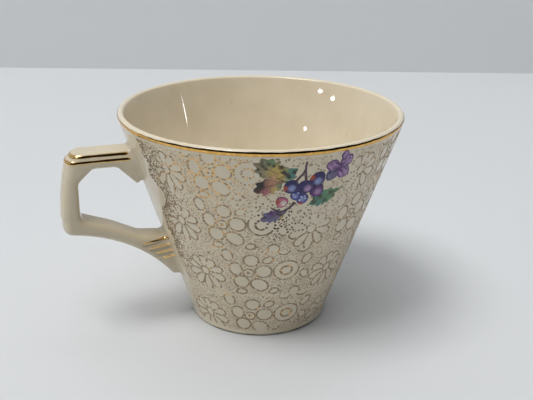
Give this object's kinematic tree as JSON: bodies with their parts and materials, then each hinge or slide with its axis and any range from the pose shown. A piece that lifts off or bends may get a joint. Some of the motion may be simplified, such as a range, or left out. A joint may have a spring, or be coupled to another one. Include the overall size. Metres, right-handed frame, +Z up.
{
  "type": "teacup",
  "caption": "Conical teacup with a ring foot, a rounded lip and an angular strap handle with a flat thumb platform; gold lace print and an enamel berry spray outside.",
  "frame": {"origin": "centre of the foot's resting face", "axes": "+Z up along the cup's axis, handle along -X"},
  "size_m": [0.1087, 0.0896, 0.0695],
  "materials": {
    "glaze": "glossy ivory earthenware glaze",
    "slip": "glazed slip fillet",
    "gold_print": "thin printed gold, dull to bright",
    "gold": "burnished gilding",
    "enamel_green": "on-glaze enamel",
    "enamel_brown": "on-glaze enamel",
    "enamel_blue": "on-glaze enamel",
    "enamel_purple": "on-glaze enamel"
  },
  "bodies": {
    "root": {"cup_body": "glaze", "handle": "glaze", "upper_luting_seam": "slip", "lower_luting_seam": "slip", "gold_print_sleeve": "gold_print", "rim_gilding": "gold", "platform_gilt_line": "gold", "shoulder_gilt_line": "gold", "terminal_gilt_left": "gold", "terminal_gilt_right": "gold", "enamel_leaves": "enamel_green", "enamel_stems": "enamel_brown", "enamel_berries": "enamel_blue", "enamel_blossom": "enamel_purple"}
  },
  "joints": []
}
